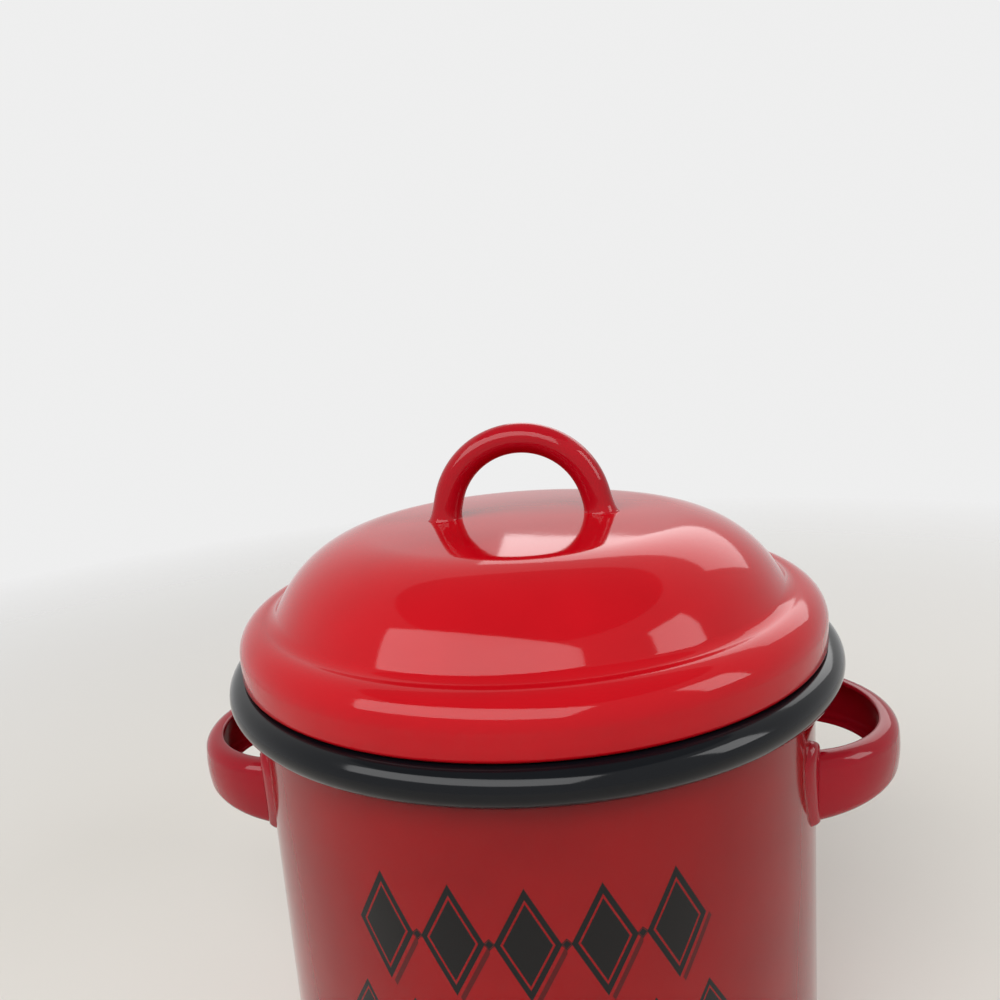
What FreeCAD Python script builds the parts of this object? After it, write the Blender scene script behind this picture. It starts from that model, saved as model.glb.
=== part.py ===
# Enamelled grease pot: a straight pot with a rolled rim and two strap handles,
# a domed lid with an arched handle, and a lift-out strainer hidden under the lid.
# Millimetres. Origin: middle of the ring that the pot stands on. +Z up.
# The side handles lie on +X and -X, the front of the pot faces -Y.

import FreeCAD, Part
import math
import os
import Sketcher
from FreeCAD import Placement, Rotation, Vector

doc = FreeCAD.newDocument("grease_pot")

# Driving dimensions
SIZES = {
    # Pot: drawn sheet with its coat of enamel
    "sheet": 1.1,
    "pot_radius": 61.5,
    "base_corner": 7.0,
    "base_recess": 1.6,
    "base_ring": 9.0,
    "base_step": 2.4,
    # Rolled rim
    "rim_height": 112.5,
    "rim_tube": 3.4,
    # Lid, heights above its own edge
    "lid_sheet": 1.1,
    "lid_seat": 0.1,
    "lid_overhang": 0.3,
    "lid_rise": 29.7,
    "ledge_rise": 11.4,
    "ledge_turn": 9.2,
    "valley_turn": 3.5,
    "flank_angle": 57.0,
    "flank_length": 2.3,
    "shoulder_turn": 26.0,
    "hem_thick": 2.0,
    "hem_height": 1.7,
    # Locating skirt welded inside the lid
    "skirt_sheet": 0.8,
    "skirt_gap": 0.6,
    "skirt_depth": 4.4,
    # Lid handle, a bent round bar
    "bar_radius": 3.35,
    "arch_radius": 17.0,
    "arch_half_angle": 75.0,
    "arch_height": 17.3,
    "flare_width": 1.5,
    "flare_height": 4.2,
    # Side handles, a curled strap bent to a loop, its top edge level
    "strap_sheet": 1.2,
    "strap_foot_height": 15.0,
    "strap_end_height": 11.6,
    "strap_depth": 4.2,
    "strap_corner": 2.8,
    "strap_crown": 24.0,
    "loop_radius": 25.2,
    "loop_reach": 18.7,
    "handle_drop": 17.5,
    "lap_thick": 1.5,
    "lap_rise": 4.2,
    "lap_inside": 4.0,
    "lap_outside": 4.6,
    "lap_bend": 26.0,
    # Strainer collar with a lip that hangs on the rim
    "collar_sheet": 0.7,
    "collar_gap": 0.3,
    "lip_angle": 58.0,
    "collar_depth": 18.5,
    "collar_corner": 2.5,
    "flange_width": 8.0,
    # Mesh floor and the ring that clamps it
    "mesh_thick": 0.6,
    "mesh_pitch": 8.0,
    "mesh_wire": 1.1,
    "mesh_edge_gap": 0.2,
    "ring_sheet": 0.7,
    "ring_gap": 0.05,
    "ring_leg": 4.6,
    "ring_corner": 1.5,
    # Eyes on the collar and the wire bail that swings in them
    "eye_drop": 7.5,
    "eye_radius": 3.5,
    "eye_foot": 4.0,
    "eye_reach": 3.8,
    "wire_radius": 1.2,
    "wire_fit": 0.1,
    "wire_end_gap": 0.7,
    "bail_rise": 33.0,
    "bail_bend": 3.0,
    "bail_shoulder": 2.1,
}

sheet = doc.addObject("Spreadsheet::Sheet", "Sizes")
for row, (name, size) in enumerate(SIZES.items(), start=1):
    sheet.set("A%d" % row, name)
    sheet.set("B%d" % row, str(size))
    sheet.setAlias("B%d" % row, name)
doc.recompute()


class Size:
    """A size worked out from the sheet: an expression that can also be read as a number."""

    def __init__(self, text):
        self.text = text

    def join(self, sign, other, swap=False):
        other_text = other.text if isinstance(other, Size) else repr(float(other))
        pair = (other_text, self.text) if swap else (self.text, other_text)
        return Size("(%s %s %s)" % (pair[0], sign, pair[1]))

    def __add__(self, other):
        return self.join("+", other)

    def __radd__(self, other):
        return self.join("+", other, swap=True)

    def __sub__(self, other):
        return self.join("-", other)

    def __rsub__(self, other):
        return self.join("-", other, swap=True)

    def __mul__(self, other):
        return self.join("*", other)

    def __rmul__(self, other):
        return self.join("*", other, swap=True)

    def __truediv__(self, other):
        return self.join("/", other)

    def __neg__(self):
        return self.join("*", -1)

    def number(self):
        result = sheet.evalExpression(self.text)
        return float(getattr(result, "Value", result))


def cell(name):
    return Size("Sizes." + name)


def size_of(thing):
    return thing if isinstance(thing, Size) else Size(repr(float(thing)))


def root(size):
    return Size("sqrt(%s)" % size.text)


def sine(angle):
    return Size("sin(%s * 1 deg)" % angle.text)


def cosine(angle):
    return Size("cos(%s * 1 deg)" % angle.text)


# Pot and rim
pot_inner = cell("pot_radius") - cell("sheet")
roll_radius = pot_inner + cell("rim_tube")
rim_crown = cell("rim_height") + cell("rim_tube")

# Lid: the outside is a chain of arcs that run into each other without a kink
lid_radius = roll_radius + cell("lid_overhang")
lid_edge = rim_crown + cell("lid_seat")
lid_apex = lid_edge + cell("lid_rise")
ledge_top = lid_edge + cell("ledge_rise")
ledge_radius = lid_radius - cell("ledge_turn")
turn_height = ledge_top - cell("ledge_turn")
flank_sin = sine(cell("flank_angle"))
flank_cos = cosine(cell("flank_angle"))
flank_foot = (
    ledge_radius - cell("valley_turn") * flank_sin,
    ledge_top + cell("valley_turn") * (1 - flank_cos),
)
flank_head = (
    flank_foot[0] - cell("flank_length") * flank_cos,
    flank_foot[1] + cell("flank_length") * flank_sin,
)
shoulder_centre = (
    flank_head[0] - cell("shoulder_turn") * flank_sin,
    flank_head[1] - cell("shoulder_turn") * flank_cos,
)
shoulder_drop = lid_apex - shoulder_centre[1]
crown_turn = (
    shoulder_centre[0] * shoulder_centre[0]
    + shoulder_drop * shoulder_drop
    - cell("shoulder_turn") * cell("shoulder_turn")
) / (2 * (shoulder_drop - cell("shoulder_turn")))
crown_sin = shoulder_centre[0] / (crown_turn - cell("shoulder_turn"))
crown_cos = root(1 - crown_sin * crown_sin)
crown_end = (crown_turn * crown_sin, lid_apex - crown_turn * (1 - crown_cos))

# Strainer
collar_outer = pot_inner - cell("collar_gap")
collar_inner = collar_outer - cell("collar_sheet")
collar_floor = cell("rim_height") - cell("collar_depth")
flange_inner = collar_outer - cell("flange_width")
mesh_floor = collar_floor + cell("collar_sheet")
mesh_radius = collar_outer - cell("collar_corner") - cell("mesh_edge_gap")
ring_floor = mesh_floor + cell("mesh_thick")
hinge_height = cell("rim_height") - cell("eye_drop")
eye_face = collar_inner - cell("eye_reach")
wire_end = collar_inner - cell("wire_end_gap")


def plane_of(body, role):
    return next(part for part in body.Origin.OriginFeatures if part.Role == role)


def new_body(name):
    body = doc.addObject("PartDesign::Body", name)
    body.Label = name
    return body


def new_sketch(body, name, role):
    sketch = body.newObject("Sketcher::SketchObject", name)
    sketch.AttachmentSupport = [(plane_of(body, role), "")]
    sketch.MapMode = "FlatFace"
    return sketch


def bind(sketch, constraint, size):
    index = sketch.addConstraint(constraint)
    sketch.setExpression("Constraints[%d]" % index, size.text)


def pin_point(sketch, edge, end, point):
    """Hold one end of an edge at a place worked out from the sheet."""
    for kind, size in zip(("DistanceX", "DistanceY"), point):
        bind(sketch, Sketcher.Constraint(kind, edge, end, size.number()), size)


def arc_between(start, end, radius, turn, wide=False):
    """The arc of a given radius from start to end that turns left or right."""
    chord = end - start
    half = chord.Length / 2
    across = Vector(-chord.y, chord.x, 0).normalize()
    side = 1 if turn == "left" else -1
    if wide:
        side = -side
    centre = (start + end) / 2 + across * side * math.sqrt(max(radius * radius - half * half, 0))
    angles = [math.atan2(point.y - centre.y, point.x - centre.x) for point in (start, end)]
    if turn == "right":
        angles.reverse()
    circle = Part.Circle(centre, Vector(0, 0, 1), radius)
    return Part.ArcOfCircle(circle, angles[0], angles[1])


def draw(sketch, points, arcs=None, closed=True):
    """Draw an outline through points; arcs maps a point's index to the arc that leaves it."""
    arcs = arcs or {}
    points = [(size_of(x), size_of(y)) for x, y in points]
    places = [Vector(x.number(), y.number(), 0) for x, y in points]
    count = len(points) if closed else len(points) - 1
    edges = []
    for index in range(count):
        start = places[index]
        end = places[(index + 1) % len(points)]
        if index in arcs:
            radius, turn, *wide = arcs[index]
            shape = arc_between(start, end, radius.number(), turn, bool(wide))
        else:
            shape = Part.LineSegment(start, end)
        edges.append(sketch.addGeometry(shape, False))
    ends = []
    for index, edge in enumerate(edges):
        backward = index in arcs and arcs[index][1] == "right"
        ends.append((2, 1) if backward else (1, 2))
    for index in range(count if closed else count - 1):
        following = (index + 1) % count
        sketch.addConstraint(
            Sketcher.Constraint(
                "Coincident", edges[index], ends[index][1], edges[following], ends[following][0]
            )
        )
    for index in range(count):
        pin_point(sketch, edges[index], ends[index][0], points[index])
    if not closed:
        pin_point(sketch, edges[-1], ends[-1][1], points[-1])
    for index, (radius, *_) in arcs.items():
        bind(sketch, Sketcher.Constraint("Radius", edges[index], radius.number()), radius)
    return edges


def draw_circle(sketch, centre, radius):
    centre = (size_of(centre[0]), size_of(centre[1]))
    place = Vector(centre[0].number(), centre[1].number(), 0)
    circle = sketch.addGeometry(Part.Circle(place, Vector(0, 0, 1), radius.number()), False)
    pin_point(sketch, circle, 3, centre)
    bind(sketch, Sketcher.Constraint("Radius", circle, radius.number()), radius)


def turned(body, sketch, name):
    """Spin a half section about the pot's axis."""
    spin = body.newObject("PartDesign::Revolution", name)
    spin.Profile = sketch
    spin.ReferenceAxis = (sketch, ["V_Axis"])
    spin.Angle = 360
    return spin


def turned_body(name, points, arcs):
    body = new_body(name)
    section = new_sketch(body, name + "_section", "XZ_Plane")
    draw(section, points, arcs)
    turned(body, section, name + "_spin")
    return body


def pipe_along(body, spine, section, name):
    pipe = body.newObject("PartDesign::AdditivePipe", name)
    pipe.Profile = section
    pipe.Spine = (spine, [""])
    return pipe


# Pot: straight wall, rounded base corner, floor panel pushed up inside a standing ring
def make_pot_body():
    outer = cell("pot_radius")
    corner = cell("base_corner")
    sheet_thick = cell("sheet")
    recess = cell("base_recess")
    ring_outer = outer - corner
    ring_inner = ring_outer - cell("base_ring")
    panel = ring_inner - cell("base_step")
    points = [
        (0, recess),
        (panel, recess),
        (ring_inner, 0),
        (ring_outer, 0),
        (outer, corner),
        (outer, cell("rim_height")),
        (pot_inner, cell("rim_height")),
        (pot_inner, corner),
        (ring_outer, sheet_thick),
        (ring_inner, sheet_thick),
        (panel, recess + sheet_thick),
        (0, recess + sheet_thick),
    ]
    arcs = {3: (corner, "left"), 7: (corner - sheet_thick, "right")}
    return turned_body("pot_body", points, arcs)


# Rim: the sheet's edge rolled outward over a wire to a full bead
def make_pot_rim():
    tube = cell("rim_tube")
    height = cell("rim_height")
    throat = tube - cell("sheet")
    points = [
        (pot_inner, height),
        (cell("pot_radius"), height - root(tube * tube - throat * throat)),
        (cell("pot_radius"), height),
    ]
    return turned_body("pot_rim", points, {0: (tube, "right", "wide")})


# Side handle: a strap with curled edges, bent to a loop, less high at its outer end,
# with a leaf-shaped lap at each foot that lies on the wall and stands above the strap
def draw_strap(sketch, face, inward, rise):
    """The strap's open section; face is where its outside lies and inward the way to the pot."""
    depth = cell("strap_depth")
    thick = cell("strap_sheet")
    curl = cell("strap_corner")
    crown = cell("strap_crown")

    def place(deep, height):
        return (face + deep * inward, height)

    low = -rise
    points = [
        place(depth, low),
        place(curl, low),
        place(0, low + curl),
        place(0, -curl),
        place(curl, 0),
        place(depth, 0),
        place(depth, -thick),
        place(curl, -thick),
        place(thick, -curl),
        place(thick, low + curl),
        place(curl, low + thick),
        place(depth, low + thick),
    ]
    outside, inside = ("right", "left") if inward > 0 else ("left", "right")
    arcs = {
        1: (curl, outside),
        2: (crown, outside),
        3: (curl, outside),
        7: (curl - thick, inside),
        8: (crown - thick, inside),
        9: (curl - thick, inside),
    }
    draw(sketch, points, arcs)


def make_side_handle(name, heading):
    body = new_body(name)
    half = cell("loop_radius")
    reach = cell("loop_reach")
    foot = cell("strap_foot_height")

    laps = new_sketch(body, name + "_lap_outline", "YZ_Plane")
    bend = cell("lap_bend")
    for side in (-1, 1):
        points = [
            ((half - cell("lap_inside")) * side, -foot),
            (half * side, -foot),
            ((half + cell("lap_outside")) * side, size_of(0)),
            ((half - cell("lap_inside")) * side, cell("lap_rise")),
        ]
        turn = "left" if side > 0 else "right"
        draw(laps, points, {1: (bend, turn), 2: (bend / 2, turn)})
    lap_pad = body.newObject("PartDesign::Pad", name + "_laps")
    lap_pad.Profile = laps
    lap_pad.Midplane = True
    lap_pad.setExpression("Length", (cell("pot_radius")).text)
    doc.recompute()

    # The laps follow the wall
    outside = new_sketch(body, name + "_lap_face", "XY_Plane")
    draw_circle(outside, (-cell("pot_radius"), 0), cell("pot_radius") + cell("lap_thick"))
    draw_circle(outside, (-cell("pot_radius"), 0), cell("pot_radius") * 2)
    shave = body.newObject("PartDesign::Pocket", name + "_lap_shave")
    shave.Profile = outside
    shave.Midplane = True
    shave.setExpression("Length", (foot * 4).text)
    doc.recompute()

    # The loop is half a circle whose middle lies inside the wall
    spine = new_sketch(body, name + "_loop", "XY_Plane")
    middle = reach - half
    points = [(middle, -half), (reach, 0), (middle, half)]
    draw(spine, points, {0: (half, "left"), 1: (half, "left")}, closed=False)

    sections = []
    for spot, role, face, inward, rise, shift in (
        ("first", "YZ_Plane", -half, 1, foot, middle),
        ("outer", "XZ_Plane", reach, -1, cell("strap_end_height"), None),
        ("last", "YZ_Plane", half, -1, foot, middle),
    ):
        section = new_sketch(body, "%s_%s_strap" % (name, spot), role)
        if shift is not None:
            section.AttachmentOffset = Placement(Vector(0, 0, shift.number()), Rotation())
            section.setExpression("AttachmentOffset.Base.z", shift.text)
        draw_strap(section, face, inward, rise)
        sections.append(section)
    pipe = pipe_along(body, spine, sections[0], name + "_strap_pipe")
    pipe.Sections = [(section, [""]) for section in sections[1:]]
    pipe.Transformation = "Multisection"
    doc.recompute()

    # Nothing reaches inside the wall
    wall = new_sketch(body, name + "_wall", "XY_Plane")
    draw_circle(wall, (-cell("pot_radius"), 0), cell("pot_radius"))
    trim = body.newObject("PartDesign::Pocket", name + "_trim")
    trim.Profile = wall
    trim.Midplane = True
    trim.setExpression("Length", (foot * 4).text)

    body.Placement = Placement(Vector(), Rotation(Vector(0, 0, 1), heading))
    reach_sign = 1 if heading == 0 else -1
    body.setExpression("Placement.Base.x", (cell("pot_radius") * reach_sign).text)
    body.setExpression("Placement.Base.z", (cell("rim_height") - cell("handle_drop")).text)
    return body


# Lid: crown, shoulder, flank, valley and a broad turned-down edge with a hem
def make_lid_shell():
    thick = cell("lid_sheet")
    edge = lid_radius
    hem = edge - cell("hem_thick")
    hem_top = lid_edge + cell("hem_height")
    points = [
        (0, lid_apex),
        crown_end,
        flank_head,
        flank_foot,
        (ledge_radius, ledge_top),
        (edge, turn_height),
        (edge, lid_edge),
        (hem, lid_edge),
        (hem, hem_top - (cell("hem_thick") - thick)),
        (edge - thick, hem_top),
        (edge - thick, turn_height),
        (ledge_radius, ledge_top - thick),
        (flank_foot[0] - thick * flank_sin, flank_foot[1] - thick * flank_cos),
        (flank_head[0] - thick * flank_sin, flank_head[1] - thick * flank_cos),
        (crown_end[0] - thick * crown_sin, crown_end[1] - thick * crown_cos),
        (0, lid_apex - thick),
    ]
    arcs = {
        0: (crown_turn, "right"),
        1: (cell("shoulder_turn"), "right"),
        3: (cell("valley_turn"), "left"),
        4: (cell("ledge_turn"), "right"),
        10: (cell("ledge_turn") - thick, "left"),
        11: (cell("valley_turn") + thick, "right"),
        13: (cell("shoulder_turn") - thick, "left"),
        14: (crown_turn - thick, "left"),
    }
    return turned_body("lid_shell", points, arcs)


# Skirt: a ring that hugs the inside of the ledge and drops into the strainer's mouth
def make_lid_skirt():
    outer = collar_inner - cell("skirt_gap")
    inner = outer - cell("skirt_sheet")
    turn = cell("ledge_turn") - cell("lid_sheet")
    tight = turn - cell("skirt_sheet")
    outer_run = outer - ledge_radius
    inner_run = inner - ledge_radius
    low = rim_crown - cell("skirt_depth")
    points = [
        (ledge_radius, turn_height + turn),
        (outer, turn_height + root(turn * turn - outer_run * outer_run)),
        (outer, low),
        (inner, low),
        (inner, turn_height + root(tight * tight - inner_run * inner_run)),
        (ledge_radius, turn_height + tight),
    ]
    arcs = {0: (turn, "right"), 4: (tight, "left")}
    return turned_body("lid_skirt", points, arcs)


# Lid handle: a round bar bent to an arch, legs splayed, feet flared where the enamel pools
def make_lid_handle():
    body = new_body("lid_handle")
    bar = cell("bar_radius")
    arch = cell("arch_radius")
    half_sin = sine(cell("arch_half_angle"))
    half_cos = cosine(cell("arch_half_angle"))
    top = lid_apex + cell("arch_height") - bar
    bend_end = (arch * half_sin, top - arch * (1 - half_cos))
    leg = (bend_end[1] - lid_apex + bar * 4) / half_sin
    foot = (bend_end[0] + leg * half_cos, bend_end[1] - leg * half_sin)

    spine = new_sketch(body, "lid_handle_arch", "XZ_Plane")
    points = [
        (-foot[0], foot[1]),
        (-bend_end[0], bend_end[1]),
        bend_end,
        foot,
    ]
    draw(spine, points, {1: (arch, "right")}, closed=False)

    section = new_sketch(body, "lid_handle_bar", "XY_Plane")
    # The section stands square to the leg at its lower end
    section.AttachmentOffset = Placement(
        Vector(-foot[0].number(), 0, foot[1].number()),
        Rotation(Vector(0, 1, 0), 90 - cell("arch_half_angle").number()),
    )
    section.setExpression("AttachmentOffset.Base.x", (-foot[0]).text)
    section.setExpression("AttachmentOffset.Base.z", foot[1].text)
    section.setExpression(
        "AttachmentOffset.Rotation.Angle", "90 deg - Sizes.arch_half_angle * 1 deg"
    )
    draw_circle(section, (0, 0), bar)
    pipe_along(body, spine, section, "lid_handle_pipe")
    doc.recompute()

    # Flare round the right foot, spun about the leg, then mirrored to the left
    flare = new_sketch(body, "lid_handle_flare", "XZ_Plane")
    crown_at_foot = lid_apex - (crown_turn - root(crown_turn * crown_turn - arch * arch))
    down = (bend_end[1] - crown_at_foot) / half_sin
    ring = (bend_end[0] + down * half_cos, bend_end[1] - down * half_sin)
    wide = bar + cell("flare_width")
    rise = cell("flare_height")
    sunk = cell("flare_width")

    def beside(along, out):
        """A place measured up the leg from the lid's face and out from the leg's axis."""
        return (
            ring[0] - along * half_cos + out * half_sin,
            ring[1] + along * half_sin + out * half_cos,
        )

    zero = size_of(0)
    points = [
        beside(-sunk, zero),
        beside(-sunk, wide),
        beside(zero, wide),
        beside(rise, bar),
        beside(rise, zero),
    ]
    draw(flare, points, {2: (rise * 1.2, "right")})
    axis_from = beside(-sunk, zero)
    axis_to = beside(rise, zero)
    axis = flare.addGeometry(
        Part.LineSegment(
            Vector(axis_from[0].number(), axis_from[1].number(), 0),
            Vector(axis_to[0].number(), axis_to[1].number(), 0),
        ),
        True,
    )
    pin_point(flare, axis, 1, axis_from)
    pin_point(flare, axis, 2, axis_to)
    spin = body.newObject("PartDesign::Revolution", "lid_handle_flare_spin")
    spin.Profile = flare
    spin.ReferenceAxis = (flare, ["Axis0"])
    spin.Angle = 360
    doc.recompute()
    mirror = body.newObject("PartDesign::Mirrored", "lid_handle_flare_mirror")
    mirror.Originals = [spin]
    mirror.MirrorPlane = (plane_of(body, "YZ_Plane"), [""])
    body.Tip = mirror
    doc.recompute()

    # The feet end on the crown of the lid
    under = new_sketch(body, "lid_handle_seat", "XZ_Plane")
    reach = foot[0] + bar * 3
    reach_height = lid_apex - (crown_turn - root(crown_turn * crown_turn - reach * reach))
    deep = lid_apex - cell("lid_rise")
    points = [(0, deep), (reach, deep), (reach, reach_height), (0, lid_apex)]
    draw(under, points, {2: (crown_turn, "left")})
    seat = body.newObject("PartDesign::Groove", "lid_handle_seat_cut")
    seat.Profile = under
    seat.ReferenceAxis = (under, ["V_Axis"])
    seat.Angle = 360
    return body


# Strainer collar: a lip over the rim's inner shoulder, a straight side and a floor flange
def make_strainer_collar():
    height = cell("rim_height")
    gap_turn = cell("rim_tube") + cell("collar_gap")
    lip_turn = gap_turn + cell("collar_sheet")
    lip_sin = sine(cell("lip_angle"))
    lip_cos = cosine(cell("lip_angle"))
    corner = cell("collar_corner")
    thick = cell("collar_sheet")
    points = [
        (collar_outer, height),
        (roll_radius - gap_turn * lip_cos, height + gap_turn * lip_sin),
        (roll_radius - lip_turn * lip_cos, height + lip_turn * lip_sin),
        (collar_inner, height),
        (collar_inner, collar_floor + corner),
        (collar_outer - corner, mesh_floor),
        (flange_inner, mesh_floor),
        (flange_inner, collar_floor),
        (collar_outer - corner, collar_floor),
        (collar_outer, collar_floor + corner),
    ]
    arcs = {
        0: (gap_turn, "right"),
        2: (lip_turn, "left"),
        4: (corner - thick, "right"),
        8: (corner, "left"),
    }
    return turned_body("strainer_collar", points, arcs)


# Mesh floor: one flat net of square gaps between crossing wires, with a closed edge band
def make_strainer_mesh():
    pitch = cell("mesh_pitch").number()
    half_gap = (pitch - cell("mesh_wire").number()) / 2
    radius = mesh_radius.number()
    open_radius = flange_inner.number()
    height = mesh_floor.number()
    rows = int(open_radius // pitch) + 1
    wires = [Part.Wire(Part.makeCircle(radius, Vector(0, 0, height)))]
    for column in range(-rows, rows + 1):
        for row in range(-rows, rows + 1):
            x = column * pitch
            y = row * pitch
            if math.hypot(abs(x) + half_gap, abs(y) + half_gap) > open_radius:
                continue
            corners = [
                Vector(x - half_gap, y - half_gap, height),
                Vector(x + half_gap, y - half_gap, height),
                Vector(x + half_gap, y + half_gap, height),
                Vector(x - half_gap, y + half_gap, height),
            ]
            wires.append(Part.makePolygon(corners + corners[:1]))
    net = Part.Face(wires, "Part::FaceMakerBullseye")
    mesh = doc.addObject("Part::Feature", "strainer_mesh")
    mesh.Label = "strainer_mesh"
    mesh.Shape = net.extrude(Vector(0, 0, cell("mesh_thick").number()))
    mesh.Placement = Placement()
    print("strainer_mesh gaps", len(wires) - 1)
    return mesh


# Clamp ring: an angle-section ring pressed into the collar on top of the mesh
def make_mesh_ring():
    outer = collar_inner - cell("ring_gap")
    thick = cell("ring_sheet")
    corner = cell("ring_corner")
    top = ring_floor + cell("ring_leg")
    points = [
        (flange_inner, ring_floor),
        (outer - corner, ring_floor),
        (outer, ring_floor + corner),
        (outer, top),
        (outer - thick, top),
        (outer - thick, ring_floor + corner),
        (outer - corner, ring_floor + thick),
        (flange_inner, ring_floor + thick),
    ]
    arcs = {1: (corner, "left"), 5: (corner - thick, "right")}
    return turned_body("mesh_ring", points, arcs)


# Eye: a small welded boss with a round head, bored for the wire's end
def make_bail_eye(name, heading):
    body = new_body(name)
    head = cell("eye_radius")
    foot = cell("eye_foot")
    face = new_sketch(body, name + "_face", "YZ_Plane")
    points = [(-head, -foot), (head, -foot), (head, 0), (0, head), (-head, 0)]
    draw(face, points, {2: (head, "left"), 3: (head, "left")})
    draw_circle(face, (0, 0), cell("wire_radius") + cell("wire_fit"))
    face.setExpression("AttachmentOffset.Base.z", eye_face.text)
    pad = body.newObject("PartDesign::Pad", name + "_pad")
    pad.Profile = face
    pad.setExpression("Length", (cell("eye_reach") * 2).text)
    doc.recompute()

    # The back follows the collar
    back = new_sketch(body, name + "_back", "XY_Plane")
    draw_circle(back, (0, 0), collar_inner)
    draw_circle(back, (0, 0), collar_inner + cell("eye_reach") * 2)
    trim = body.newObject("PartDesign::Pocket", name + "_trim")
    trim.Profile = back
    trim.Midplane = True
    trim.setExpression("Length", (cell("eye_radius") * 6).text)
    body.Placement = Placement(Vector(), Rotation(Vector(0, 0, 1), heading))
    body.setExpression("Placement.Base.z", hinge_height.text)
    return body


# Bail: one wire, lying flat towards the front, both ends turned out into the eyes
def make_strainer_bail():
    body = new_body("strainer_bail")
    straight = eye_face - cell("bail_shoulder")
    rise = cell("bail_rise")
    chord_turn = (straight * straight + rise * rise) / (2 * rise)
    bend = cell("bail_bend")
    bow = chord_turn - bend
    bow_sin = straight / chord_turn
    bow_cos = 1 - rise / chord_turn
    meet = (bow * bow_sin, -bend * (1 - bow_cos))
    spine = new_sketch(body, "bail_line", "XY_Plane")
    points = [
        (-wire_end, 0),
        (-straight, 0),
        (-meet[0], meet[1]),
        (meet[0], meet[1]),
        (straight, 0),
        (wire_end, 0),
    ]
    arcs = {1: (bend, "right"), 2: (bow, "left"), 3: (bend, "right")}
    draw(spine, points, arcs, closed=False)
    section = new_sketch(body, "bail_wire", "YZ_Plane")
    section.setExpression("AttachmentOffset.Base.z", (-wire_end).text)
    draw_circle(section, (0, 0), cell("wire_radius"))
    pipe_along(body, spine, section, "bail_pipe")
    body.setExpression("Placement.Base.z", hinge_height.text)
    return body


def checked(parts):
    """Stop unless every object computed and every sub-part is one or more valid solids."""
    doc.recompute()
    for thing in doc.Objects:
        if "Invalid" in thing.State or "Error" in thing.State:
            raise RuntimeError("%s did not compute: %s" % (thing.Name, thing.State))
    for part in parts:
        shape = part.Shape
        if shape.isNull() or not shape.isValid() or not shape.Solids:
            raise RuntimeError(part.Label + " is not a valid solid")
        box = shape.BoundBox
        print(
            "%-18s solids %d volume %9.1f  x %6.1f %6.1f  y %6.1f %6.1f  z %6.1f %6.1f"
            % (part.Label, len(shape.Solids), shape.Volume,
               box.XMin, box.XMax, box.YMin, box.YMax, box.ZMin, box.ZMax)
        )


parts = [
    make_pot_body(),
    make_pot_rim(),
    make_side_handle("side_handle_right", 0),
    make_side_handle("side_handle_left", 180),
    make_lid_shell(),
    make_lid_skirt(),
    make_lid_handle(),
    make_strainer_collar(),
    make_strainer_mesh(),
    make_mesh_ring(),
    make_bail_eye("bail_eye_right", 0),
    make_bail_eye("bail_eye_left", 180),
    make_strainer_bail(),
]
checked(parts)

os.makedirs("parts", exist_ok=True)
for part in parts:
    part.Shape.exportStep("parts/%s.step" % part.Label)
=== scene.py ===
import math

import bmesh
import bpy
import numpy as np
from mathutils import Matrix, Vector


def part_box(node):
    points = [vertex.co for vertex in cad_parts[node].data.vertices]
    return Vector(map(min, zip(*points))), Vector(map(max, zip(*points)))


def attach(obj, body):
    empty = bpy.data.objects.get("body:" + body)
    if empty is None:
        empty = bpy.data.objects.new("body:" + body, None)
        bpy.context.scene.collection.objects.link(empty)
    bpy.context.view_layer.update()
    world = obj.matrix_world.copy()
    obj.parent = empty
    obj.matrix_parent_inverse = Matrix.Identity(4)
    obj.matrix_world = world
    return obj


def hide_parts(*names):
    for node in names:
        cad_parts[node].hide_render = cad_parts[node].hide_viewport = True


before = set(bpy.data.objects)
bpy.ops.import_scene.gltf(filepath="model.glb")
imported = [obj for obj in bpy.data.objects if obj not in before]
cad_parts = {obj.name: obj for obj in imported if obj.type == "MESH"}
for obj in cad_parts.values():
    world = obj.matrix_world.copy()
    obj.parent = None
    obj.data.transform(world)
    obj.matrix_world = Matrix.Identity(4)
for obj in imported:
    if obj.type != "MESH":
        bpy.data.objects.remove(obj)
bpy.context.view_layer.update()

# %% [markdown]
# # A red enamelled grease pot
# The pot is pressed from sheet steel and coated with glass enamel: a straight wall with a
# black rolled rim, two strap handles, and a domed lid with an arched bar on top. A strainer
# with a woven floor and a folding bail hangs in the mouth under the lid. Everything here is
# in metres, in the frame of the loaded model: +Z up, side handles on +X and -X, front on -Y.

MM = 0.001

# %% [markdown]
# ## Sizes
# The main sizes are read from the loaded model, so the looks follow it. What a box can't
# tell, such as the sheet's thickness or the radius of a bend, is a named value.

# %% Sizes read from the model, and the bends that a box can't tell
_, pot_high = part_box("pot_body")
rim_low, rim_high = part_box("pot_rim")
lid_low, lid_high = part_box("lid_shell")
_, arch_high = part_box("lid_handle")
_, loop_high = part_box("side_handle_right")
collar_low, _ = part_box("strainer_collar")
net_low, net_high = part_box("strainer_mesh")
clamp_low, clamp_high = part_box("mesh_ring")
eye_low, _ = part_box("bail_eye_right")
skirt_low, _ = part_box("lid_skirt")

WALL_RADIUS = pot_high.x
RIM_HEIGHT = pot_high.z
RIM_TUBE = (rim_high.z - rim_low.z) / 2
RIM_MIDDLE = rim_high.x - RIM_TUBE
LID_RADIUS = lid_high.x
LID_EDGE = lid_low.z

SHEET = 1.1 * MM
BASE_CORNER = 7 * MM
BASE_RECESS = 1.6 * MM
BASE_RING = 9 * MM
BASE_STEP = 2.4 * MM

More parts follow.
